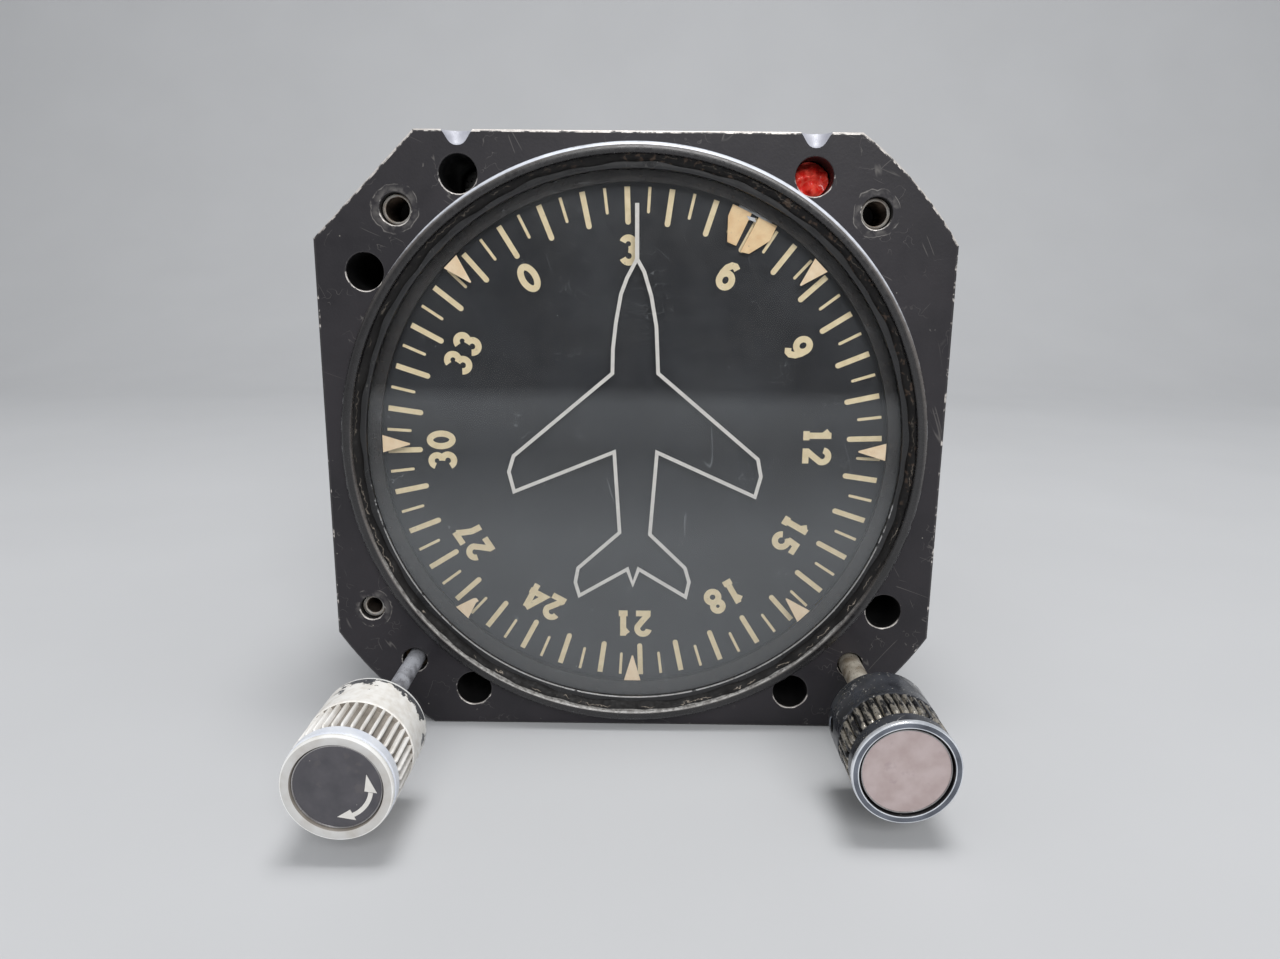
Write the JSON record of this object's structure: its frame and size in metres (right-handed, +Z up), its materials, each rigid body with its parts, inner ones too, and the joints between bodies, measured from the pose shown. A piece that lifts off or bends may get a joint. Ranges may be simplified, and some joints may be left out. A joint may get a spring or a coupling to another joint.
{
  "type": "aircraft directional gyro",
  "caption": "Panel-mounted aircraft directional gyro with a turning compass card, a heading bug, two fluted knobs and an air-driven gyro in gimbals.",
  "frame": {"origin": "under the middle of the whole instrument, in the plane of the lower side of the frame", "axes": "+Y to the rear along the instrument axis, +Z up, +X to the right of a pilot who looks at the dial"},
  "size_m": [0.085, 0.1648, 0.0828],
  "materials": {
    "black_paint": "satin black paint with bare worn edges",
    "case_paint": "satin black paint",
    "window_glass": "clear, dusty and finely scratched",
    "sealant": "dried black compound",
    "dial_black": "matt black with cream markings",
    "bug_cream": "matt cream paint",
    "steel": "plain steel",
    "rotor_brass": "turned, with milled air buckets",
    "aluminium": "plain turned aluminium",
    "cage_knob_metal": "bare and polished by use, chipped paint on the collar",
    "bug_knob_black": "black anodised, worn to bare metal on ridges and rim",
    "knob_face_grey": "dark grey",
    "knob_face_pink": "mottled pinkish brown",
    "red_seal": "glossy red sealing compound",
    "filter_paper": "pale felt",
    "insulator": "dark insulator with thin contacts"
  },
  "bodies": {
    "housing": {"front_frame": "black_paint", "case_body": "case_paint", "rear_cover": "case_paint", "rear_gasket": "sealant", "cover_screw_1": "steel", "cover_screw_2": "steel", "cover_screw_3": "steel", "cover_screw_4": "steel", "case_screw_1": "steel", "case_screw_2": "steel", "case_screw_3": "steel", "case_screw_4": "steel", "window_glass": "window_glass", "window_retaining_ring": "case_paint", "sealing_compound": "sealant", "dial_mask": "dial_black", "threaded_insert_1": "steel", "threaded_insert_2": "steel", "threaded_insert_3": "steel", "hole_seal": "red_seal", "cage_shaft_bushing": "rotor_brass", "bug_shaft_bushing": "rotor_brass", "dial_bridge": "aluminium", "spindle_bearing_front": "steel", "spindle_bearing_rear": "steel", "upper_gimbal_bearing": "steel", "lower_gimbal_bearing": "steel", "upper_bearing_cap": "aluminium", "lower_bearing_cap": "aluminium", "filter_housing": "aluminium", "filter_element": "filter_paper", "vacuum_port": "aluminium", "connector_shell": "aluminium", "connector_insert": "insulator"},
    "card_assembly": {"compass_card": "dial_black", "card_spindle": "steel", "setting_gear": "rotor_brass", "card_bevel_gear": "rotor_brass"},
    "bug_assembly": {"bug_gear": "aluminium", "heading_bug": "bug_cream"},
    "bug_idler": {"bug_idler_gear": "rotor_brass"},
    "setting_idler": {"setting_idler_gear": "rotor_brass"},
    "bug_knob_assembly": {"bug_knob": "bug_knob_black", "bug_knob_face": "knob_face_pink", "bug_knob_screw": "steel", "bug_shaft": "steel"},
    "caging_slide": {"caging_rod": "steel", "cage_return_spring": "steel"},
    "cage_knob_assembly": {"cage_knob": "cage_knob_metal", "cage_knob_face": "knob_face_grey", "cage_knob_screw": "steel", "cage_shaft": "steel"},
    "outer_gimbal_assembly": {"outer_gimbal": "aluminium", "azimuth_gear": "rotor_brass", "air_nozzle": "rotor_brass"},
    "inner_gimbal_assembly": {"inner_gimbal": "steel", "rotor_bearing_front": "steel", "rotor_bearing_rear": "steel"},
    "rotor_assembly": {"rotor": "rotor_brass", "rotor_shaft": "steel"}
  },
  "joints": [
    {"name": "azimuth_turn", "type": "hinge", "parent": "housing", "child": "outer_gimbal_assembly", "pos_m": [0, 0.0109, 0.0414], "axis": [0, 0, 1], "continuous": true},
    {"name": "card_turn", "type": "hinge", "parent": "housing", "child": "card_assembly", "pos_m": [0, -0.0381, 0.0414], "axis": [0, 1, 0], "continuous": true},
    {"name": "setting_idler_turn", "type": "hinge", "parent": "housing", "child": "setting_idler", "pos_m": [-0.02585, -0.034, 0.01554], "axis": [0, 1, 0], "continuous": true},
    {"name": "inner_gimbal_tilt", "type": "hinge", "parent": "outer_gimbal_assembly", "child": "inner_gimbal_assembly", "pos_m": [0, 0.0109, 0.0414], "axis": [1, 0, 0], "range_deg": [-55, 55]},
    {"name": "rotor_spin", "type": "hinge", "parent": "inner_gimbal_assembly", "child": "rotor_assembly", "pos_m": [0, 0.0109, 0.0414], "axis": [0, 1, 0], "continuous": true},
    {"name": "bug_knob_turn", "type": "hinge", "parent": "housing", "child": "bug_knob_assembly", "pos_m": [0.0316, -0.0481, 0.0098], "axis": [0, 1, 0], "continuous": true},
    {"name": "bug_idler_turn", "type": "hinge", "parent": "housing", "child": "bug_idler", "pos_m": [0.02585, -0.0419, 0.01554], "axis": [0, 1, 0], "continuous": true},
    {"name": "bug_turn", "type": "hinge", "parent": "housing", "child": "bug_assembly", "pos_m": [0, -0.0419, 0.0414], "axis": [0, 1, 0], "continuous": true},
    {"name": "cage_push", "type": "slide", "parent": "housing", "child": "caging_slide", "axis": [0, 1, 0], "range_m": [0, 0.004], "stiffness_N_per_m": 800, "springref_m": -0.001, "deforming": ["cage_return_spring"]},
    {"name": "cage_knob_turn", "type": "hinge", "parent": "caging_slide", "child": "cage_knob_assembly", "pos_m": [-0.0316, -0.0481, 0.0098], "axis": [0, 1, 0], "continuous": true}
  ],
  "couplings": [
    {"joint": "card_turn", "follows": "azimuth_turn", "ratio": -1},
    {"joint": "setting_idler_turn", "follows": "azimuth_turn", "ratio": 8},
    {"joint": "bug_idler_turn", "follows": "bug_knob_turn", "ratio": -1},
    {"joint": "bug_turn", "follows": "bug_knob_turn", "ratio": 0.125}
  ]
}
